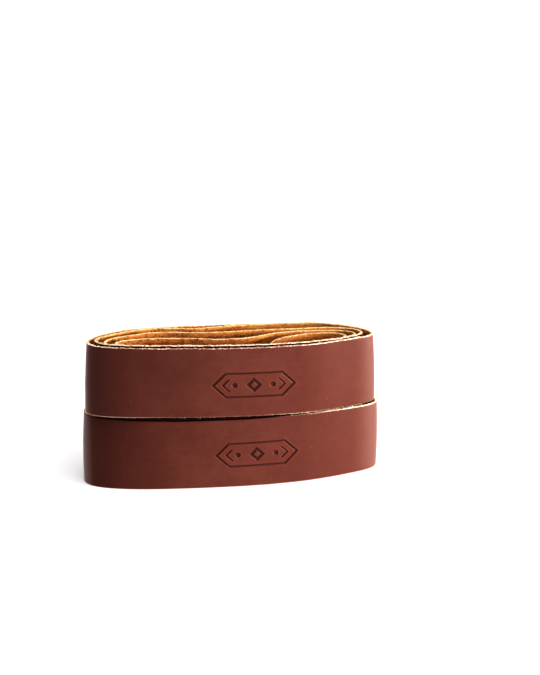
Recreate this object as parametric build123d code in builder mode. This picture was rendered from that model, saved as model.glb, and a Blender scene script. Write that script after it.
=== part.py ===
from build123d import *
import math
import os

# A pair of strop leathers. Each is one long flat strip of leather, smooth side out,
# wound into a flattened coil that stands on its cut edge, one coil on the other.
# Frame: +X along the coils, -Y the stamped front, +Z up, resting plane at Z = 0.

# Driving dimensions, in millimetres
strip_width = 38.0  # width of each strip, so the height of each coil
leather = 1.3  # thickness of the leather
stack_gap = 0.4  # air between the two coils
centre_y = 4.15  # moves the routes so that the pair is centred on the origin
bend_clearance = 0.35  # air round the bend where a loose outer end swings
end_round = 0.6  # rounding of a loose end where it bends
mark_depth = 0.3  # depth of the stamped ornament
mark_length = 44.0
mark_height = 14.0
mark_line = 1.0

half = leather / 2
upper_base = strip_width + stack_gap

# Corners of each strip's centre line, seen from above, from the inner end outwards.
# Each line of corners is one side of a turn: round the right end and along the front,
# then round the left end and along the back.
upper_route = [
    (20.5, -1.0), (28, 3.0), (37, 7.6), (47, 10.2), (57, 9.2), (62.4, 4.6), (59.5, -1.6),
    (50, -5.4), (35, -9.0), (15, -10.9), (-8, -10.4), (-30, -8.6), (-52, -6.4),
    (-60.2, -3.4), (-61.2, 1.2), (-56.5, 5.6), (-43, 7.2), (-25, 5.6), (-11, 1.9),
    (3, 1.2), (14, 4.4), (24, 10.6), (34, 12.2), (48, 12.6), (60, 11.4),
    (66.6, 7.8), (66.6, 1.6), (59, -3.6), (46, -8.4), (30, -11.6), (8, -12.9),
    (-16, -11.7), (-40, -9.5), (-56, -7.6),
    (-65, -4.2), (-67.2, 1.4), (-63.6, 7.4), (-54, 11.2), (-43, 15.4), (-33, 15.8),
    (-19, 12.8), (-4, 12.4), (14, 14.8), (32, 15.2), (50, 16.0), (62.5, 13.6),
    (70, 8.9), (70.2, 1.9), (61, -4.6), (47, -9.9), (32, -12.9), (9, -14.5),
    (-16, -13.3), (-40, -11.1), (-57, -9.2),
    (-67.4, -5.2), (-71.9, 1.2), (-70.6, 6.4), (-62.9, 12.6), (-51.6, 18.9),
    (-40, 22.4), (-29, 20.8), (-18, 19.4), (-4, 22.2), (14, 24.3), (32, 25.4), (48, 25.4),
    (60.5, 19.8), (72, 11.4), (76.2, 3.0), (73.4, -2.6), (62, -7.0), (48, -12.5),
    (34, -15.6), (12, -17.6), (-14, -17.0), (-40, -14.1), (-58, -11.9),
    (-70.5, -8.2), (-75.7, -2.4), (-74.9, 4.6), (-66.8, 14.0), (-53.3, 21.9), (-38, 24.6),
    (-14, 26.2), (12, 27.4), (36, 27.6),
]
lower_route = [
    (40, 12.6), (49, 13.6), (58, 12.6), (64.4, 8.4), (63.4, 2.4), (54, -2.8), (40, -7.2),
    (20, -10.4), (-4, -12.0), (-30, -12.2), (-50, -11.0),
    (-61.4, -7.6), (-64.4, -1.6), (-60.6, 3.6), (-50, 6.4), (-36, 7.6), (-20, 6.2),
    (-4, 6.4), (10, 8.8), (26, 13.6), (42, 16.4), (58, 16.6),
    (68.8, 11.6), (68.4, 4.2), (59, -2.6), (42, -8.8), (21, -12.3), (-4, -13.9),
    (-31, -14.1), (-52, -12.9),
    (-65.6, -8.6), (-69.4, -2.2), (-66.4, 5.0), (-56, 9.8), (-43, 12.4), (-30, 11.6),
    (-14, 9.8), (4, 11.6), (22, 16.4), (40, 19.8), (58, 20.0),
    (70.4, 14.8), (73.6, 7.4), (70.4, 1.2), (60, -4.4), (43, -10.6), (22, -14.1),
    (-4, -15.8), (-32, -16.0), (-53, -14.8),
    (-68.6, -10.4), (-74.2, -4.0), (-72.2, 4.4), (-63, 11.4), (-50, 16.0), (-36, 17.2),
    (-20, 15.0), (-3, 16.4), (16, 20.6), (36, 24.6), (54, 25.6),
    (68, 21.4), (77.4, 14.0), (79.8, 6.6), (75.4, 0.0), (64, -5.4), (50, -10.9),
    (34, -15.2), (14, -18.2), (-12, -19.4), (-40, -19.1), (-58, -17.4),
    (-72.5, -13.0), (-79.2, -6.2), (-79, 2.4), (-72, 11.2), (-58, 18.2), (-42, 21.2),
    (-22, 20.4), (-4, 22.2), (14, 25.0), (22, 26.2),
]

# The loose outer end bends half way along the run before this corner
upper_bend = (-14, 26.2)
lower_bend = (-22, 20.4)


def heading(start, finish):
    return math.atan2(finish[1] - start[1], finish[0] - start[0])


def corner_turns(route):
    turns = []
    for before, corner, after in zip(route, route[1:], route[2:]):
        turn = heading(corner, after) - heading(before, corner)
        turns.append(math.remainder(turn, 2 * math.pi))
    return turns


def corner_radii(route):
    # the largest arcs that leave each run a tenth of its length straight
    radii = []
    for before, corner, after, turn in zip(route, route[1:], route[2:], corner_turns(route)):
        shorter = min(math.dist(before, corner), math.dist(corner, after))
        radii.append(0.45 * shorter / math.tan(abs(turn) / 2))
    return radii


def beside(route, offset):
    # the same corners moved to the left of the direction of travel by the offset
    moved = []
    turns = [0, *corner_turns(route), 0]
    for index, (corner, turn) in enumerate(zip(route, turns)):
        start = route[max(index - 1, 0)]
        finish = route[max(index, 1)]
        normal = heading(start, finish) + turn / 2 + math.pi / 2
        reach = offset / math.cos(turn / 2)
        moved.append((corner[0] + reach * math.cos(normal), corner[1] + reach * math.sin(normal)))
    return moved


def side_radii(route, radii, offset):
    return [r - offset * math.copysign(1, turn) for r, turn in zip(radii, corner_turns(route))]


def strip_outline(route, radii, left, right, first_round=0):
    # closed outline of a strip whose centre line follows the route
    corners = beside(route, left) + beside(route, right)[::-1]
    rounds = [first_round, *side_radii(route, radii, left), 0]
    rounds += [0, *side_radii(route, radii, right)[::-1], first_round]
    return FilletPolyline(*corners, radius=rounds, close=True)


def point_along(start, finish, distance):
    angle = heading(start, finish)
    return (start[0] + distance * math.cos(angle), start[1] + distance * math.sin(angle))


def split_route(route, bend):
    # the coil and its loose outer end, on either side of the bend in the leather
    index = route.index(bend)
    start, finish = route[index - 1], bend
    axis = point_along(start, finish, math.dist(start, finish) / 2)
    coil_end = point_along(axis, start, half + bend_clearance)
    end_start = point_along(axis, start, half)
    radii = corner_radii(route)
    coil = (route[:index] + [coil_end], radii[: index - 1])
    loose_end = ([end_start] + route[index:], radii[index - 1 :])
    return coil, loose_end, axis


def level(height):
    return Plane(origin=(0, -centre_y, height))


upper_coil_path, upper_end_path, upper_axis = split_route(upper_route, upper_bend)
lower_coil_path, lower_end_path, lower_axis = split_route(lower_route, lower_bend)

# Stamped ornament: a long six-sided frame round a diamond with a dot on each side.
# It is a shallow hollow that follows the curve of the front, so it is the outer skin
# of the front run, cut to the ornament's shape.
with BuildSketch() as ornament:
    tip = mark_height * 0.5
    with BuildLine():
        Polyline(
            (-mark_length / 2, 0),
            (-mark_length / 2 + tip, mark_height / 2),
            (mark_length / 2 - tip, mark_height / 2),
            (mark_length / 2, 0),
            (mark_length / 2 - tip, -mark_height / 2),
            (-mark_length / 2 + tip, -mark_height / 2),
            close=True,
        )
    make_face()
    offset(amount=-mark_line, mode=Mode.SUBTRACT)
    with Locations((0, 0)):
        Rectangle(5.6, 5.6, rotation=45)
        Rectangle(2.6, 2.6, rotation=45, mode=Mode.SUBTRACT)
    with Locations((-10, 0), (10, 0)):
        Circle(1.3)


def stamped_skin(route, first_corner, last_corner):
    # the skin of the outermost front run, from the stamp's floor to just outside it
    first, last = route.index(first_corner), route.index(last_corner)
    radii = corner_radii(route)[first : last - 1]
    return strip_outline(route[first : last + 1], radii, half + 0.5, half - mark_depth)


with BuildPart() as lower_mark:
    with BuildSketch(level(0)):
        with BuildLine():
            stamped_skin(lower_route, (64, -5.4), (-40, -19.1))
        make_face()
    extrude(amount=strip_width)
    with BuildSketch(Plane(origin=(12.5, -20, 18.2), z_dir=(0, -1, 0), x_dir=(1, 0, 0))):
        add(ornament.sketch)
    extrude(amount=25, both=True, mode=Mode.INTERSECT)

with BuildPart() as upper_mark:
    with BuildSketch(level(upper_base)):
        with BuildLine():
            stamped_skin(upper_route, (62, -7.0), (-40, -14.1))
        make_face()
    extrude(amount=strip_width)
    with BuildSketch(Plane(origin=(10, -20, 56), z_dir=(0, -1, 0), x_dir=(1, 0, 0))):
        add(ornament.sketch)
    extrude(amount=25, both=True, mode=Mode.INTERSECT)

# Lower strop: the coil that stands on the table
with BuildPart() as lower_strop:
    with BuildSketch(level(0)):
        with BuildLine():
            strip_outline(*lower_coil_path, half, -half)
        make_face()
    extrude(amount=strip_width)
    add(lower_mark.part, mode=Mode.SUBTRACT)

# Its loose outer end, which peels away from the back of the coil
with BuildPart() as lower_strop_end:
    with BuildSketch(level(0)):
        with BuildLine():
            strip_outline(*lower_end_path, half, -half, end_round)
        make_face()
    extrude(amount=strip_width)

# Upper strop: the coil that stands on the lower one and lifts off
with BuildPart() as upper_strop:
    with BuildSketch(level(upper_base)):
        with BuildLine():
            strip_outline(*upper_coil_path, half, -half)
        make_face()
    extrude(amount=strip_width)
    add(upper_mark.part, mode=Mode.SUBTRACT)

# Its loose outer end
with BuildPart() as upper_strop_end:
    with BuildSketch(level(upper_base)):
        with BuildLine():
            strip_outline(*upper_end_path, half, -half, end_round)
        make_face()
    extrude(amount=strip_width)

lower_strop.part.label = "lower_strop"
lower_strop_end.part.label = "lower_strop_end"
upper_strop.part.label = "upper_strop"
upper_strop_end.part.label = "upper_strop_end"

os.makedirs("parts", exist_ok=True)
export_step(lower_strop.part, "parts/lower_strop.step")
export_step(lower_strop_end.part, "parts/lower_strop_end.step")
export_step(upper_strop.part, "parts/upper_strop.step")
export_step(upper_strop_end.part, "parts/upper_strop_end.step")

pair = Compound([lower_strop.part, lower_strop_end.part, upper_strop.part, upper_strop_end.part])
box = pair.bounding_box()
lower_length = (lower_strop.part.volume + lower_strop_end.part.volume) / leather / strip_width
upper_length = (upper_strop.part.volume + upper_strop_end.part.volume) / leather / strip_width
print("box", [round(v, 2) for v in (*box.min, *box.max)])
print("lengths", round(lower_length), round(upper_length))
print("bend axes", lower_axis, upper_axis, "y moved by", -centre_y)
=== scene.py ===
# Pair of strop leathers: two long strips wound into flattened coils, one standing on the other.
import bpy, bmesh, math, random
import numpy as np
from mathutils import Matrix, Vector, noise


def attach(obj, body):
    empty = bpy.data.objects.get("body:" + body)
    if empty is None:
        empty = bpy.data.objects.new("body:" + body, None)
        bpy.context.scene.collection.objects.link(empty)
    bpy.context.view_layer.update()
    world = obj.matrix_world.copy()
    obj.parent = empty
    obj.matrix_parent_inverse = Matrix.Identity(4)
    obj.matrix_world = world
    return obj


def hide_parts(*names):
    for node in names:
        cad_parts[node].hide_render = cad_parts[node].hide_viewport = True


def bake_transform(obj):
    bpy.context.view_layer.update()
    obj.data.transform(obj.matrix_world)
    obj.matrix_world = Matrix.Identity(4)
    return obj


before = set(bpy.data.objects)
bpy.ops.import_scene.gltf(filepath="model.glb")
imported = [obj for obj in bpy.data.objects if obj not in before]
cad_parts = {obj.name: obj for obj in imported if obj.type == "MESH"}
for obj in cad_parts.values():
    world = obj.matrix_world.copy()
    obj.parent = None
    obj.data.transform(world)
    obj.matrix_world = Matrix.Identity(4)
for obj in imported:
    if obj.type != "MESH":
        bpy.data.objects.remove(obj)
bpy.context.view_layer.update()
bpy.ops.object.select_all(action="DESELECT")
mm = 0.001

# what both strips share: one hide, one cut, one stamp
leather = {
    "width": 38.0, "thickness": 1.3,
    "stationStep": 0.85,          # length between cross-sections
    "stampStep": 1.0,             # coarser where the stamp subdivides them
    "stampCuts": 4,
    "grainRows": [0.22, 0.8, 2.0, 4.5, 7.5, 10.0, 11.2, 12.4, 13.6, 14.8, 16.0, 17.2, 18.4,
                  19.6, 20.8, 22.0, 23.2, 24.4, 25.6, 28.0, 31.0, 34.0, 36.2, 37.3, 37.78],
    "fleshRows": [37.75, 37.25, 36.6, 35.9, 35.1, 34.2, 33.2, 32.0, 30.0, 25.0, 18.0, 11.0, 6.0,
                  2.2, 0.8, 0.25],
    "edgeAcross": [0.48, 0.16, -0.16, -0.48],   # across the cut edge, grain side to flesh side
    "edgeWobble": 0.16, "edgeNap": 0.25, "fleshNap": 0.13,
    "edgeZone": 0.9,              # height over which a cut edge's waver dies out
    "cornerRound": 0.07, "cornerHeight": 0.3, "swell": 0.05, "ripple": 0.035,
    "cleanCut": 0.25, "roughCut": 2.2,          # share of the nap: sloped-in edge, flesh side
    "skive": 7.0, "skiveThin": 0.35,            # the strip thins over this length at its inner end
    "bellyX": 76.0, "bellyY": 40.0,             # half sizes of a coil, for its belly
    "flareLeft": (25, 74), "flareRight": (40, 76),
}
uvSpan = 1300.0                   # millimetres of strip to one unit of UV
uvRows = (0, 45, 90)              # where the grain, flesh and cut edge start across the UV
lineStep, lineSmoothing = 0.25, 14

stamp = {"length": 44.0, "height": 14.0, "line": 1.0, "depth": 0.42,
         "lip": 0.07, "lipAway": 0.45, "lipWidth": 0.28, "margin": 1.5,
         "wall": (-0.12, 0.2), "halo": (0.2, 2.4),    # distances from a line's edge
         "diamondOut": 4.0, "diamondIn": 1.9, "dot": 1.3, "dotsAt": 10.0,
         "chevronAt": 16.2, "chevronHeight": 3.2, "chevronLine": 0.34}

upperStrap = {
    "base": 38.4, "napShare": 1.0, "seed": 11, "bendAfter": 83, "stampAt": (10.0, 17.6),
    "trueAt": 1.0,                # the height share at which the coil keeps to its route
    "twist": -1.7, "lean": -0.7, "bulge": 0.4, "flare": (2.0, 1.7),   # left end, right end
    # how far the top edge sits below the full width, and how far the cut slopes
    # outwards (+) or inwards (-), each by the distance along the strip
    "topDrop": [(0, 3.4), (2.5, 1.9), (7, 1.3), (150, 1.2), (260, 0.8), (330, 0.55), (430, 0.6),
                (520, 0.25), (600, 0.0), (640, -0.42), (730, -0.42), (770, 0.0), (930, 0.0),
                (960, 0.22), (1050, 0.22), (1080, 0.0), (1201, 0.75)],
    "cutSlope": [(0, 0.1), (600, 0.1), (640, 0.16), (740, 0.16), (780, 0.1), (930, 0.05),
                 (1201, 0.03)],
    "route": [
        (20.5, -1.0), (28, 3.0), (37, 7.6), (47, 10.2), (57, 9.2), (62.4, 4.6), (59.5, -1.6),
        (50, -5.4), (35, -9.0), (15, -10.9), (-8, -10.4), (-30, -8.6), (-52, -6.4),
        (-60.2, -3.4), (-61.2, 1.2), (-56.5, 5.6), (-43, 7.2), (-25, 5.6), (-11, 1.9),
        (3, 1.2), (14, 4.4), (24, 10.6), (34, 12.2), (48, 12.6), (60, 11.4),
        (66.6, 7.8), (66.6, 1.6), (59, -3.6), (46, -8.4), (30, -11.6), (8, -12.9),
        (-16, -11.7), (-40, -9.5), (-56, -7.6),
        (-65, -4.2), (-67.2, 1.4), (-63.6, 7.4), (-54, 11.2), (-43, 15.4), (-33, 15.8),
        (-19, 12.8), (-4, 12.4), (14, 14.8), (32, 15.2), (50, 16.0), (62.5, 13.6),
        (70, 8.9), (70.2, 1.9), (61, -4.6), (47, -9.9), (32, -12.9), (9, -14.5),
        (-16, -13.3), (-40, -11.1), (-57, -9.2),
        (-67.4, -5.2), (-71.9, 1.2), (-70.6, 6.4), (-62.9, 12.6), (-51.6, 18.9),
        (-40, 22.4), (-29, 20.8), (-18, 19.4), (-4, 22.2), (14, 24.3), (32, 25.4), (48, 25.4),
        (60.5, 19.8), (72, 11.4), (76.2, 3.0), (73.4, -2.6), (62, -7.0), (48, -12.5),
        (34, -15.6), (12, -17.6), (-14, -17.0), (-40, -14.1), (-58, -11.9),
        (-70.5, -8.2), (-75.7, -2.4), (-74.9, 4.6), (-66.8, 14.0), (-53.3, 21.9), (-38, 24.6),
        (-14, 26.2), (12, 27.4), (36, 27.6),
    ],
}

lowerStrap = {
    "base": 0.0, "napShare": 0.64, "seed": 23, "bendAfter": 77, "stampAt": (12.5, 18.2),
    "trueAt": 0.0,
    "twist": -3.95, "lean": 2.85, "bulge": 0.4, "flare": (1.2, 0.5),
    "topDrop": [(0, 2.6), (3, 1.2), (9, 0.7), (900, 0.3), (965, 0.1), (990, 0.9), (1015, 1.9),
                (1050, 2.5), (1090, 2.3), (1104, 1.4), (1122, 0.8), (1145, 0.2),
                (1218, 0.3)],
    "cutSlope": [(0, 0.0), (960, 0.2), (985, -0.1), (1005, -0.7), (1112, -0.7), (1132, 0.0)],
    "route": [
        (40, 12.6), (49, 13.6), (58, 12.6), (64.4, 8.4), (63.4, 2.4), (54, -2.8), (40, -7.2),
        (20, -10.4), (-4, -12.0), (-30, -12.2), (-50, -11.0),
        (-61.4, -7.6), (-64.4, -1.6), (-60.6, 3.6), (-50, 6.4), (-36, 7.6), (-20, 6.2),
        (-4, 6.4), (10, 8.8), (26, 13.6), (42, 16.4), (58, 16.6),
        (68.8, 11.6), (68.4, 4.2), (59, -2.6), (42, -8.8), (21, -12.3), (-4, -13.9),
        (-31, -14.1), (-52, -12.9),
        (-65.6, -8.6), (-69.4, -2.2), (-66.4, 5.0), (-56, 9.8), (-43, 12.4), (-30, 11.6),
        (-14, 9.8), (4, 11.6), (22, 16.4), (40, 19.8), (58, 20.0),
        (70.4, 14.8), (73.6, 7.4), (70.4, 1.2), (60, -4.4), (43, -10.6), (22, -14.1),
        (-4, -15.8), (-32, -16.0), (-53, -14.8),
        (-68.6, -10.4), (-74.2, -4.0), (-72.2, 4.4), (-63, 11.4), (-50, 16.0), (-36, 17.2),
        (-20, 15.0), (-3, 16.4), (16, 20.6), (36, 24.6), (54, 25.6),
        (68, 21.4), (77.4, 14.0), (79.8, 6.6), (75.4, 0.0), (64, -5.4), (50, -10.9),
        (34, -15.2), (14, -18.2), (-12, -19.4), (-40, -19.1), (-58, -17.4),
        (-72.5, -13.0), (-79.2, -6.2), (-79, 2.4), (-72, 11.2), (-58, 18.2), (-42, 21.2),
        (-22, 20.4), (-4, 22.2), (14, 25.0), (22, 26.2),
    ],
}
routeCentreY = 4.15   # the routes are drawn about this Y, the coils stand centred on the origin


def smoothStep(low, high, x):
    t = np.clip((np.asarray(x, float) - low) / (high - low), 0.0, 1.0)
    return t * t * (3 - 2 * t)


def wobble(along, across, seed, size):
    # smooth random height from -1 to 1 at a spot on the strip
    return noise.noise(Vector((along / size, across / size, seed * 7.31)))


def windingLine(name, corners):
    # the strip's centre line: a smooth curve guided by the route's corners
    curve = bpy.data.curves.new(name, "CURVE")
    curve.dimensions = "3D"
    spline = curve.splines.new("NURBS")
    spline.points.add(len(corners) - 1)
    for point, (x, y) in zip(spline.points, corners):
        point.co = (x * mm, (y - routeCentreY) * mm, 0, 1)
    spline.order_u = 3
    spline.use_endpoint_u = True
    spline.resolution_u = 24
    holder = bpy.data.objects.new(name, curve)
    bpy.context.scene.collection.objects.link(holder)
    bpy.context.view_layer.update()
    mesh = bpy.data.meshes.new_from_object(holder)
    line = np.array([v.co[:2] for v in mesh.vertices]) / mm
    bpy.data.objects.remove(holder)
    bpy.data.curves.remove(curve)
    bpy.data.meshes.remove(mesh)
    return line


class Winding:
    # the centre line read by the distance along it, in millimetres
    def __init__(self, name, values):
        self.values = values
        line = windingLine(name, values["route"])
        steps = np.hypot(*np.diff(line, axis=0).T)
        keep = np.r_[True, steps > 1e-6]
        line = line[keep]
        at = np.r_[0, np.cumsum(np.hypot(*np.diff(line, axis=0).T))]
        self.length = at[-1]
        self.s = np.arange(0, self.length, lineStep)
        xy = np.stack([np.interp(self.s, at, line[:, k]) for k in (0, 1)], 1)
        for _ in range(lineSmoothing):   # evens out the curvature between one corner and the next
            xy[1:-1] = (xy[:-2] + 2 * xy[1:-1] + xy[2:]) / 4
        self.xy = xy
        tangent = np.gradient(xy, axis=0)
        self.tangent = tangent / np.hypot(*tangent.T)[:, None]

    def at(self, s):
        point = np.array([np.interp(s, self.s, self.xy[:, k]) for k in (0, 1)])
        way = np.array([np.interp(s, self.s, self.tangent[:, k]) for k in (0, 1)])
        way = way / np.hypot(*way)
        return point, way, np.array([-way[1], way[0]])

    def nearest(self, x):
        # distance along the outermost front run where it passes x
        last = np.where((self.xy[:, 1] < -10) & (self.tangent[:, 0] < 0))[0]
        last = last[self.s[last] > self.length * 0.66]
        return self.s[last[np.argmin(abs(self.xy[last, 0] - x))]]


def stampDepth(u, v):
    # at a spot on the stamp: how far it is pressed in, 0 to 1, how far the lip beside a
    # pressed line is raised, 0 to 1, and the distance to that line
    hexagon = max(abs(v) - stamp["height"] / 2,
                  (abs(u) + abs(v) - stamp["length"] / 2) / math.sqrt(2))
    half = stamp["line"] / 2
    fromFrame = abs(hexagon + half) - half
    diamond = (abs(u) + abs(v)) / math.sqrt(2)
    fromDiamond = max(diamond - stamp["diamondOut"] / math.sqrt(2),
                      stamp["diamondIn"] / math.sqrt(2) - diamond)
    fromDot = math.hypot(abs(u) - stamp["dotsAt"], v) - stamp["dot"]
    chevron = abs(abs(u) - stamp["chevronAt"] + abs(v)) / math.sqrt(2) - stamp["chevronLine"]
    fromChevron = max(chevron, abs(v) - stamp["chevronHeight"])
    away = min(fromFrame, fromDiamond, fromDot, fromChevron)
    pressed = 1 - float(smoothStep(*stamp["wall"], away))
    lip = math.exp(-((away - stamp["lipAway"]) / stamp["lipWidth"]) ** 2)
    return pressed, lip, away


def strapMesh(name, winding, start, finish):
    # one stretch of the strip as a closed mesh: grain face, cut edges, flesh face, two ends
    values, hide = winding.values, leather
    half = hide["thickness"] / 2
    stampX, stampZ = values["stampAt"]
    stampMiddle = winding.nearest(stampX)
    reach = stamp["length"] / 2 + stamp["margin"]
    stampFrom, stampTo = stampMiddle - reach, stampMiddle + reach
    stampZone = stamp["height"] / 2 + 1.9       # half the height that is subdivided

    stations, s = [], start
    while s < finish - 0.4:
        stations.append(s)
        s += hide["stampStep"] if stampFrom - 1 <= s <= stampTo else hide["stationStep"]
    stations.append(finish)

    section = [(h, half) for h in hide["grainRows"]]
    section += [(hide["width"], d) for d in hide["edgeAcross"]]
    section += [(h, -half) for h in hide["fleshRows"]]
    section += [(0.0, d) for d in reversed(hide["edgeAcross"])]
    count = len(section)
    grainLast = len(hide["grainRows"]) - 1
    fleshFirst = len(hide["grainRows"]) + len(hide["edgeAcross"])
    fleshLast = fleshFirst + len(hide["fleshRows"]) - 1

    bm = bmesh.new()
    alongLayer = bm.verts.layers.float.new("along")
    riseLayer = bm.verts.layers.float.new("rise")
    pressedLayer = bm.verts.layers.float.new("pressed")
    haloLayer = bm.verts.layers.float.new("halo")
    grainSide = bm.verts.layers.float.new("grainSide")
    uv = bm.loops.layers.uv.new("alongStrap")

    rings = []
    for s in stations:
        point, _, out = winding.at(s)
        ring = []
        for h, d in section:
            x, y, z = placeOnStrap(values, s, point, out, h, d)
            vert = bm.verts.new((x * mm, y * mm, z * mm))
            vert[alongLayer], vert[riseLayer] = s, h
            vert[grainSide] = 1.0 if d == half else 0.0
            ring.append(vert)
        rings.append(ring)

    def uvSpot(s, h, side):
        return (s / uvSpan, (h + uvRows[side]) / uvSpan)

    stampFaces = []
    for i in range(len(rings) - 1):
        a, b = rings[i], rings[i + 1]
        for j in range(count):
            k = (j + 1) % count
            face = bm.faces.new((a[j], b[j], b[k], a[k]))
            if j < grainLast or j == count - 1:
                side = 0          # the foot's rounded corner is grain too
            elif j == grainLast and slopeAt(values, stations[i]) < 0:
                side = 0
            elif fleshFirst <= j < fleshLast:
                side = 1
            else:
                side = 2
            face.material_index = side
            face.smooth = True
            across = [section[j], section[j], section[k], section[k]]
            spots = [stations[i], stations[i + 1], stations[i + 1], stations[i]]
            for loop, (h, d), at in zip(face.loops, across, spots):
                height = h if side < 2 else (d + half if h > 1 else d + half + 3)
                loop[uv].uv = uvSpot(at, height, side)
            low, high = section[j][0], section[k][0]
            if side == 0 and low > stampZ - stampZone and high < stampZ + stampZone:
                if stampFrom <= stations[i] and stations[i + 1] <= stampTo:
                    stampFaces.append(face)
    for ring in (rings[0], rings[-1][::-1]):
        face = bm.faces.new(ring)
        face.material_index = 1
        for edge in face.edges:
            edge.smooth = False   # keeps the two stretches' shading even where they meet
        for loop in face.loops:
            v = loop.vert
            loop[uv].uv = uvSpot(v[alongLayer] + 1, v[riseLayer], 2)

    if stampFaces:
        edges = list({e for f in stampFaces for e in f.edges})
        bmesh.ops.subdivide_edges(bm, edges=edges, cuts=hide["stampCuts"], use_grid_fill=True)
        for vert in bm.verts:
            s, h = vert[alongLayer], vert[riseLayer]
            if not (stampFrom - 2 < s < stampTo + 2) or not (stampZ - 10 < h < stampZ + 10):
                continue
            if vert[grainSide] < 0.9:
                continue          # the flesh face behind the stamp stays as it is
            _, _, out = winding.at(s)
            pressed, lip, away = stampDepth(stampMiddle - s, h - stampZ)
            shift = (stamp["lip"] * lip - stamp["depth"] * pressed) * mm
            vert.co.x += out[0] * shift
            vert.co.y += out[1] * shift
            vert[pressedLayer] = pressed
            vert[haloLayer] = float(1 - smoothStep(*stamp["halo"], away))
    bmesh.ops.recalc_face_normals(bm, faces=bm.faces)
    mesh = bpy.data.meshes.new(name)
    bm.to_mesh(mesh)
    bm.free()
    strap = bpy.data.objects.new(name, mesh)
    bpy.context.scene.collection.objects.link(strap)
    return strap


def slopeAt(values, s):
    return float(np.interp(s, *zip(*values["cutSlope"])))


def placeOnStrap(values, s, point, out, h, d):
    # where a spot of the cross-section stands: the strip leans, twists and wavers a little
    hide, seed = leather, values["seed"]
    width, zone = hide["width"], hide["edgeZone"]
    rise = h / width
    # cut edges waver and are napped, most at the flesh side
    atTop = float(smoothStep(width - zone, width, h))
    atFoot = 1 - float(smoothStep(0, zone, h))
    waver = hide["edgeWobble"] * wobble(s, 3.0, seed, 14.0)
    nap = hide["edgeNap"] * (wobble(s, d * 2, seed + 1, 0.9) + 0.6 * wobble(s, d * 3, seed + 2, 0.4))
    if slopeAt(values, s) < 0:
        nap *= hide["cleanCut"]
    elif d < -0.4:
        nap *= hide["roughCut"]
    nap *= values["napShare"]
    drop = np.interp(s, *zip(*values["topDrop"]))
    z = values["base"] + h - drop * rise
    z += atTop * (waver + nap - slopeAt(values, s) * d / hide["thickness"])
    z += atFoot * (abs(nap) * 0.8 + (0 if values["base"] == 0 else abs(waver) * 0.5))
    if d == -hide["thickness"] / 2:
        tuft = wobble(s, h, seed + 6, 1.5) + 0.7 * wobble(s, h, seed + 7, 0.7)
        d += hide["fleshNap"] * tuft * float(smoothStep(4, 20, h))
    # rounded corner on the grain side
    depth = d
    corner = hide["cornerHeight"]
    if d > 0 and (h > width - corner or h < corner) and h not in (0.0, width):
        depth = d - hide["cornerRound"]
    depth += hide["swell"] * wobble(s, h, seed + 3, 9.0) + hide["ripple"] * wobble(s, h, seed + 4, 3.0)
    thin = hide["skiveThin"]
    depth *= thin + (1 - thin) * float(smoothStep(0, hide["skive"], s))
    x, y = point[0] + out[0] * depth, point[1] + out[1] * depth
    # the whole coil twists and leans from foot to top, and bellies out half way up
    above = rise - values["trueAt"]
    angle = math.radians(values["twist"]) * above
    x, y = x * math.cos(angle) - y * math.sin(angle), x * math.sin(angle) + y * math.cos(angle)
    y += values["lean"] * above
    left, right = values["flare"]
    left *= float(smoothStep(*hide["flareLeft"], -x))
    right *= float(smoothStep(*hide["flareRight"], x))
    x += above * (left - right)
    belly = values["bulge"] * (1 - (2 * rise - 1) ** 2)
    x += belly * x / hide["bellyX"]
    y += belly * y / hide["bellyY"]
    return x, y, z


fibreLook = {"rim": 620, "flesh": 420, "foot": 52,        # how many on a whole strip
             "thin": 0.06, "thick": 0.17, "taper": 0.75, "rings": 3, "sides": 3,
             "fleshDepth": 7.0,   # how far down the flesh side they are seen
             "footFrom": 30.0, "footRun": 100.0}


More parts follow.
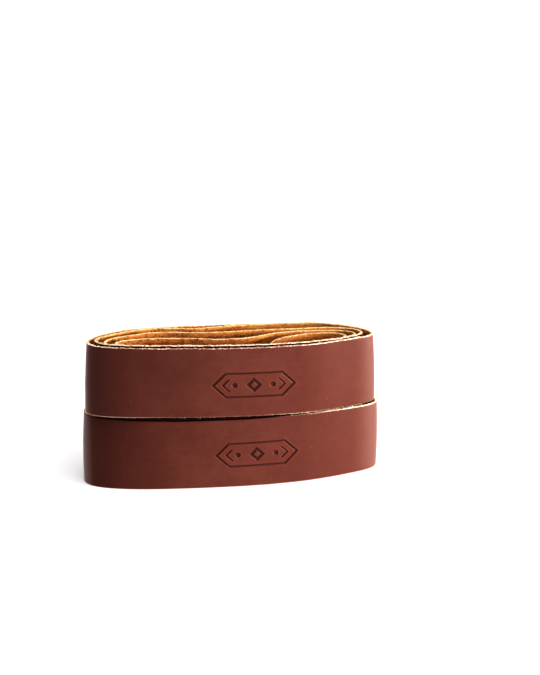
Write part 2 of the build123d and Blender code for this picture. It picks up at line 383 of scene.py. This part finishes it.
def looseFibres(name, winding, start, finish, share):
    # fibre ends that stand out of the cut edges and the napped flesh side
    values, hide = winding.values, leather
    pick = random.Random(values["seed"] * 10 + int(start > 1))
    half = hide["thickness"] / 2
    bm = bmesh.new()

    def strand(s, h, d, lengthwise, outwards, upwards, reach, radius):
        point, way, out = winding.at(s)
        x, y, z = placeOnStrap(values, s, point, out, h, d)
        grow = Vector((way[0] * lengthwise + out[0] * outwards, way[1] * lengthwise + out[1] * outwards,
                       upwards)).normalized()
        curl = Vector([pick.uniform(-1, 1) for _ in range(3)]) * 0.7
        side = grow.orthogonal().normalized()
        other = grow.cross(side)
        rings = []
        for i in range(fibreLook["rings"] + 1):
            t = i / fibreLook["rings"]
            middle = Vector((x, y, z)) + grow * reach * (t - 0.12) + curl * reach * t * t * 0.5
            width = radius * (1 - fibreLook["taper"] * t)
            ring = []
            for k in range(fibreLook["sides"]):
                turn = 2 * math.pi * k / fibreLook["sides"]
                spot = middle + (side * math.cos(turn) + other * math.sin(turn)) * width
                ring.append(bm.verts.new(spot * mm))
            rings.append(ring)
        for a, b in zip(rings, rings[1:]):
            for k in range(len(a)):
                bm.faces.new((a[k], a[k - 1], b[k - 1], b[k]))
        bm.faces.new(rings[0])
        bm.faces.new(rings[-1][::-1])

    for _ in range(int(fibreLook["rim"] * share)):
        s = pick.uniform(start + 0.5, finish - 0.5)
        if slopeAt(values, s) < -0.2:
            continue              # no loose ends where the cut slopes inwards
        strand(s, hide["width"], pick.uniform(-0.95, 0.8) * half, pick.uniform(-1.2, 1.2),
               pick.uniform(-1, 0.7), pick.uniform(0.3, 1.0), pick.uniform(0.25, 0.8) ** 1.2 + 0.1,
               pick.uniform(fibreLook["thin"], fibreLook["thick"]))
    for _ in range(int(fibreLook["flesh"] * share)):
        s = pick.uniform(start + 0.5, finish - 0.5)
        h = hide["width"] - pick.uniform(0.3, fibreLook["fleshDepth"])
        strand(s, h, -half, pick.uniform(-1.5, 1.5), -pick.uniform(0.15, 0.6), pick.uniform(-0.3, 1.0),
               pick.uniform(0.4, 0.95), pick.uniform(0.03, 0.07))
    if values["base"] > 0 and start < 1:
        footFrom = winding.nearest(fibreLook["footFrom"])
        for _ in range(fibreLook["foot"]):
            s = footFrom + fibreLook["footRun"] * pick.random() ** 0.8
            strand(s, 0.0, pick.uniform(0.2, 0.95) * half, pick.uniform(-1, 1), pick.uniform(-0.2, 0.9),
                   -pick.uniform(0.2, 1.0), pick.uniform(0.25, 0.8), pick.uniform(0.035, 0.06))
    bmesh.ops.recalc_face_normals(bm, faces=bm.faces)
    mesh = bpy.data.meshes.new(name)
    bm.to_mesh(mesh)
    bm.free()
    fibres = bpy.data.objects.new(name, mesh)
    bpy.context.scene.collection.objects.link(fibres)
    fibres.data.materials.append(looseFibre)
    return fibres


# shader maths: an expression on these adds its own nodes
class Socket:
    def __init__(self, shop, link):
        self.shop, self.link = shop, link

    def math(self, kind, other):
        return self.shop.node("ShaderNodeMath", {"operation": kind}, {0: self, 1: other})

    def __add__(self, other): return self.math("ADD", other)
    def __radd__(self, other): return self.math("ADD", other)
    def __sub__(self, other): return self.math("SUBTRACT", other)
    def __mul__(self, other): return self.math("MULTIPLY", other)
    def __rmul__(self, other): return self.math("MULTIPLY", other)
    def __rsub__(self, other): return (self * -1) + other

    def between(self, low, high):
        # 0 at low, 1 at high, smooth in between
        return self.shop.node("ShaderNodeMapRange", {"interpolation_type": "SMOOTHSTEP"},
                              {"Value": self, "From Min": low, "From Max": high})

    def band(self, low, full, fall, gone):
        # 1 from full to fall, 0 before low and after gone
        return self.between(low, full) * (1 - self.between(fall, gone))


class Finish:
    # one material and its nodes
    def __init__(self, name):
        self.material = bpy.data.materials.new(name)
        self.material.use_nodes = True
        self.tree = self.material.node_tree
        self.shader = self.tree.nodes["Principled BSDF"]

    def node(self, kind, settings=None, given=None, out=0):
        made = self.tree.nodes.new(kind)
        for key, value in (settings or {}).items():
            setattr(made, key, value)
        for key, value in (given or {}).items():
            value = value.link if isinstance(value, Socket) else value
            if isinstance(value, bpy.types.NodeSocket):
                self.tree.links.new(value, made.inputs[key])
            else:
                made.inputs[key].default_value = value
        return Socket(self, made.outputs[out])

    def mix(self, factor, first, second):
        # inputs 6 and 7 and output 2 are the mix node's colours
        first = (*first, 1) if isinstance(first, tuple) else first
        second = (*second, 1) if isinstance(second, tuple) else second
        return self.node("ShaderNodeMix", {"data_type": "RGBA"}, {0: factor, 6: first, 7: second}, 2)

    def feed(self, **sockets):
        for key, value in sockets.items():
            socket = self.shader.inputs[key.replace("_", " ")]
            if isinstance(value, Socket):
                self.tree.links.new(value.link, socket)
            else:
                socket.default_value = value

    def strapSpot(self, stretch=(1, 1, 1)):
        spot = self.node("ShaderNodeUVMap", {"uv_map": "alongStrap"})
        scale = tuple(uvSpan * k for k in stretch)   # back to millimetres along the strip
        return self.node("ShaderNodeMapping", None, {"Vector": spot, "Scale": scale})

    def speckle(self, spot, scale, detail=3.0, rough=0.5, distortion=0.0):
        return self.node("ShaderNodeTexNoise", None,
                         {"Vector": spot, "Scale": scale, "Detail": detail, "Roughness": rough,
                          "Distortion": distortion})

    def attribute(self, name):
        return self.node("ShaderNodeAttribute", {"attribute_name": name}, None, 2)

    def cells(self, spot, scale):
        return self.node("ShaderNodeTexVoronoi", None, {"Vector": spot, "Scale": scale})

    def bump(self, height, strength, distance):
        return self.node("ShaderNodeBump", None,
                         {"Height": height, "Strength": strength, "Distance": distance})

    def objectSpot(self):
        return self.node("ShaderNodeTexCoord", None, None, 3)

    def objectAxis(self, axis):
        # 0, 1 or 2: the object's own X, Y or Z in metres
        return self.node("ShaderNodeSeparateXYZ", None, {0: self.objectSpot()}, axis)


grainLook = {
    "deep": (0.091, 0.0210, 0.0134), "mid": (0.120, 0.0330, 0.0220),
    "warm": (0.144, 0.0415, 0.0282), "leftShade": (0.066, 0.0130, 0.0072),
    "rightBend": (0.155, 0.074, 0.059), "leftBend": (0.210, 0.130, 0.124),
    "speck": (0.42, 0.26, 0.20), "aroundStamp": (0.150, 0.032, 0.019),
    "pressed": (0.040, 0.0100, 0.0070), "worn": (0.30, 0.13, 0.085),
    "shaded": (0.016, 0.0017, 0.0013), "paintedFootHighlight": (0.60, 0.36, 0.25),
    # stretches along the strip: fades in from, to, fades out from, to
    "shadedAlong": (625, 660, 770, 800), "paintedFootHighlightAlong": (1022, 1080, 1095, 1112),
}


def grainFinish():
    # smooth waxed grain side, red-brown; the paint is darker over the left half of the coils,
    # in place of light that falls off there
    f = Finish("smoothGrain")
    spot = f.strapSpot()
    cloud = f.speckle(spot, 0.055, 4.0, 0.6)
    patch = f.speckle(spot, 0.21, 5.0, 0.62)
    drawn = f.speckle(f.strapSpot((0.25, 1.6, 1)), 0.45, 4.0, 0.6)
    pores = f.cells(spot, 2.6)
    grit = f.speckle(spot, 1.3, 2.0, 0.5)
    fine = f.speckle(spot, 3.4, 3.0, 0.6)
    tone = cloud * 0.45 + patch * 0.35 + drawn * 0.2
    colour = f.mix(tone.between(0.34, 0.66), grainLook["deep"], grainLook["warm"])
    colour = f.mix(0.45, colour, grainLook["mid"])
    place = f.objectAxis(0)
    leftShade = 1 - (place + (cloud - 0.5) * 0.03).between(-0.078, 0.004)
    colour = f.mix(leftShade * 0.92, colour, grainLook["leftShade"])
    # painted shade: darker over a band in the right half of the coils
    rightBandShade = place.band(0.010, 0.040, 0.062, 0.077)
    colour = f.mix(rightBandShade * 0.55, colour, grainLook["deep"])
    # paler at the end bends, in place of light that glances off them
    colour = f.mix(place.between(0.064, 0.0795) * 0.6, colour, grainLook["rightBend"])
    colour = f.mix((1 - place.between(-0.0792, -0.0738)) * 0.6, colour, grainLook["leftBend"])
    colour = f.mix(fine.between(0.50, 0.75) * 0.26, colour, grainLook["deep"])
    colour = f.mix(grit.between(0.50, 0.72) * 0.22, colour, grainLook["warm"])
    speck = f.cells(spot, 0.16)
    colour = f.mix((1 - speck.between(0.018, 0.034)) * 0.5, colour, grainLook["speck"])
    pressed = f.attribute("pressed")
    colour = f.mix(f.attribute("halo") * 0.4, colour, grainLook["aroundStamp"])
    colour = f.mix(pressed * 0.9, colour, grainLook["pressed"])
    # kept dark under the top edge of the turn behind the outermost one, as a shadowed gap
    along, rise = f.attribute("along"), f.attribute("rise")
    shaded = along.band(*grainLook["shadedAlong"]) * rise.between(28, 33.5)
    colour = f.mix(shaded * 0.93, colour, grainLook["shaded"])
    footWear = 1 - rise.between(0.15, 0.55)
    colour = f.mix(footWear * fine.between(0.3, 0.6) * 0.8, colour, grainLook["worn"])
    # painted highlight: a pale line along the upper strip's foot at the left end
    onUpper = f.objectAxis(2).between(0.0365, 0.0372)
    paintedFootHighlight = along.band(*grainLook["paintedFootHighlightAlong"]) * onUpper * (1 - rise.between(0.35, 0.6))
    colour = f.mix(paintedFootHighlight * 0.8, colour, grainLook["paintedFootHighlight"])
    height = pores.between(0.0, 0.42) * 0.5 + fine * 0.45 + patch * 0.4
    rough = f.speckle(spot, 0.9, 4.0, 0.6) * 0.12 + fine * 0.08 + 0.34
    f.feed(Base_Color=colour, Roughness=rough + pressed * 0.1,
           Normal=f.bump(height, 0.32, 0.00012), Specular_IOR_Level=0.12,
           Sheen_Weight=0.8, Sheen_Roughness=0.26, Sheen_Tint=(1.0, 0.88, 0.86, 1))
    return f.material


fleshLook = {
    "hollow": (0.175, 0.020, 0.0020), "nap": (0.70, 0.205, 0.028), "stain": (0.60, 0.145, 0.020),
    "matted": (0.185, 0.018, 0.0016), "raised": (0.86, 0.36, 0.080),
    "deep": (0.34, 0.046, 0.0045), "bright": (0.93, 0.42, 0.125),
    "fibre": (0.95, 0.46, 0.130), "paintedLightNearTop": (0.92, 0.46, 0.140),
}


def fleshFinish():
    # tan suede flesh side: napped fibres lying every way in their own mottled tan, with painted shade
    # in the hollows between the tufts
    f = Finish("suedeFlesh")
    spot = f.strapSpot()
    tuft = f.speckle(spot, 0.62, 5.0, 0.72, 0.9)
    fibre = f.speckle(f.strapSpot((1, 0.5, 1)), 1.7, 4.0, 0.7, 1.4)
    cloud = f.speckle(spot, 0.09, 3.0, 0.6)
    # painted shade: darker in the hollows between the tufts
    colour = f.mix(tuft.between(0.42, 0.57), fleshLook["hollow"], fleshLook["nap"])
    colour = f.mix(cloud.between(0.4, 0.65) * 0.4, colour, fleshLook["stain"])
    clump = f.speckle(f.strapSpot((0.6, 1, 1)), 0.27, 3.0, 0.65, 0.8)
    colour = f.mix((1 - clump.between(0.37, 0.49)) * 0.6, colour, fleshLook["matted"])
    colour = f.mix(clump.between(0.52, 0.64) * 0.5, colour, fleshLook["raised"])
    # painted darker further down and brighter in the right half, in place of light that falls in
    rise = f.attribute("rise")
    deep = 1 - (rise + (clump - 0.5) * 4).between(33.6, 37.3)
    sunny = f.objectAxis(0).band(0.004, 0.032, 0.056, 0.066)
    colour = f.mix(deep * (0.72 - sunny * 0.4), colour, fleshLook["deep"])
    colour = f.mix(sunny * 0.38, colour, fleshLook["bright"])
    colour = f.mix(fibre.between(0.56, 0.66) * 0.6, colour, fleshLook["fibre"])
    # painted light: the flesh is lighter near the top edge, where light falls in
    paintedLightNearTop = rise.between(34.0, 37.9)
    colour = f.mix(paintedLightNearTop * tuft.between(0.36, 0.5) * 0.5, colour, fleshLook["paintedLightNearTop"])
    f.feed(Base_Color=colour, Roughness=0.95, Specular_IOR_Level=0.05,
           Normal=f.bump(tuft * 0.8 + fibre * 0.6, 1.0, 0.0006))
    return f.material


edgeLook = {
    "tan": (0.50, 0.215, 0.085), "cream": (0.97, 0.87, 0.67), "stain": (0.78, 0.44, 0.20),
    "goldenTan": (0.62, 0.245, 0.065), "golden": (0.96, 0.64, 0.27),
    "frontRimShade": (0.82, 0.56, 0.47), "frontRimShadeBetweenEnds": (0.23, 0.062, 0.040),
    "frontRimShadeAlong": (950, 980, 1054, 1070),
}


def edgeFinish():
    # raw cut edge: pale fibre ends with tan between, more golden towards the back of the coil
    f = Finish("rawCutEdge")
    spot = f.strapSpot()
    ends = f.speckle(spot, 0.85, 5.0, 0.75, 0.5)
    cloud = f.speckle(spot, 0.28, 3.0, 0.6)
    colour = f.mix(ends.between(0.40, 0.55), edgeLook["tan"], edgeLook["cream"])
    colour = f.mix(cloud.between(0.52, 0.72) * 0.55, colour, edgeLook["stain"])
    golden = f.mix(ends.between(0.38, 0.56), edgeLook["goldenTan"], edgeLook["golden"])
    colour = f.mix(f.objectAxis(1).between(-0.009, 0.004) * 0.75, colour, golden)
    # painted shade along the front of the outermost turn: the edge is pinker there and dark red between
    # the fibre ends
    frontRimShade = f.attribute("along").band(*edgeLook["frontRimShadeAlong"])
    colour = f.mix(frontRimShade * 0.5, colour, edgeLook["frontRimShade"])
    colour = f.mix(frontRimShade * (1 - ends.between(0.49, 0.58)) * 0.85, colour, edgeLook["frontRimShadeBetweenEnds"])
    f.feed(Base_Color=colour, Roughness=0.9, Specular_IOR_Level=0.1,
           Normal=f.bump(ends, 1.0, 0.0003))
    return f.material


def fibreFinish():
    # cream and straw-coloured fibre ends
    f = Finish("looseFibre")
    strands = f.speckle(f.objectSpot(), 300.0, 1.0).between(0.4, 0.6)
    colour = f.mix(strands, (0.88, 0.60, 0.32), (0.97, 0.90, 0.76))
    f.feed(Base_Color=colour, Roughness=0.8, Specular_IOR_Level=0.3)
    return f.material


finishes = [grainFinish(), fleshFinish(), edgeFinish()]
looseFibre = fibreFinish()

for label, node, values in (("upper", "upper_strop", upperStrap), ("lower", "lower_strop", lowerStrap)):
    winding = Winding(label + "Line", values)
    a, b = values["route"][values["bendAfter"]], values["route"][values["bendAfter"] + 1]
    bend = np.array([(a[0] + b[0]) / 2, (a[1] + b[1]) / 2 - routeCentreY])
    late = winding.s > winding.length * 0.8
    bendAt = winding.s[late][np.argmin(np.hypot(*(winding.xy[late] - bend).T))]
    print(label, "strip length", round(winding.length, 1), "bends open at", round(bendAt, 1))
    stretches = ((label + "Strap", 0.0, bendAt, node),
                 (label + "StrapEnd", bendAt, winding.length, node + "_end"))
    for name, start, finish, stands in stretches:
        piece = strapMesh(name, winding, start, finish)
        fibres = looseFibres(name + "Fibres", winding, start, finish, (finish - start) / winding.length)
        for finishing in finishes:
            piece.data.materials.append(finishing)
        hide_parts(stands)
        for made in (piece, fibres):
            if start == 0:
                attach(made, label + "_coil")
            else:
                label + "_coil"
                label + "_end"
                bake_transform(made)
        (finish - start) * mm
        print(name, "faces", len(piece.data.polygons), "fibre faces", len(fibres.data.polygons))

studio = {
    "floor": 60.0, "floorBack": 2.0, "floorNear": 0.86, "floorFar": 1.0,
    "whiterFrom": 0.35, "whiterTo": 1.4,        # squares of the distance from the coils
    "lens": 85.33, "sensor": 36.0, "worldLight": 0.22, "gamma": 0.80,
    "cameraAt": (-0.05523, -0.80971, 0.32347), "cameraTilt": 73.0, "cameraTurn": -5.375,
}
bpy.ops.mesh.primitive_plane_add(size=studio["floor"], location=(0, studio["floorBack"], 0))
floor = bpy.context.active_object
floor.name = "floor"
floorFinish = Finish("paleFloor")
# the sweep is whiter further off, out of reach of the panels
sideways = floorFinish.objectAxis(0)
back = floorFinish.objectAxis(1) + studio["floorBack"]
farOff = (sideways * sideways + back * back).between(studio["whiterFrom"], studio["whiterTo"])
floorTone = floorFinish.mix(farOff, (studio["floorNear"],) * 3, (studio["floorFar"],) * 3)
floorFinish.feed(Base_Color=floorTone, Roughness=0.55, Specular_IOR_Level=0.2)
floor.data.materials.append(floorFinish.material)

world = bpy.data.worlds.new("softWhite")
bpy.context.scene.world = world
world.use_nodes = True
sky = world.node_tree.nodes["Background"].inputs
sky["Color"].default_value = (1, 0.985, 0.97, 1)
sky["Strength"].default_value = studio["worldLight"]
view = bpy.context.scene.view_settings
view.view_transform = "Standard"
view.exposure, view.gamma = 0.0, studio["gamma"]
print("finishes and studio ready")


def lamp(name, kind, place, aim, power, size, colour=(1, 1, 1)):
    data = bpy.data.lights.new(name, kind)
    data.energy, data.color = power, colour
    if kind == "SUN":
        data.angle = math.radians(size)
    else:
        data.shape, (data.size, data.size_y) = "RECTANGLE", size
    made = bpy.data.objects.new(name, data)
    bpy.context.scene.collection.objects.link(made)
    made.location = place
    made.rotation_euler = (Vector(aim) - Vector(place)).to_track_quat("-Z", "Y").to_euler()
    return made


lamp("overhead", "SUN", (0.25, -0.40, 2), (0, 0, 0), 3.1, 60)
lamp("rightWindow", "AREA", (1.09, -0.42, 0.14), (0, 0, 0.03), 40.0, (0.5, 0.28), (1, 0.97, 0.94))
lamp("leftCard", "AREA", (-0.75, 0.60, 0.30), (0, 0, 0.03), 4.6, (0.9, 0.6))
lamp("backWindow", "AREA", (0.5, 1.4, 0.6), (0, 0, 0.03), 4.2, (1.0, 0.7))

camera = bpy.data.objects.new("camera", bpy.data.cameras.new("camera"))
bpy.context.scene.collection.objects.link(camera)
camera.data.lens, camera.data.sensor_width = studio["lens"], studio["sensor"]
camera.location = studio["cameraAt"]
camera.rotation_euler = (math.radians(studio["cameraTilt"]), 0, math.radians(studio["cameraTurn"]))
bpy.context.scene.camera = camera
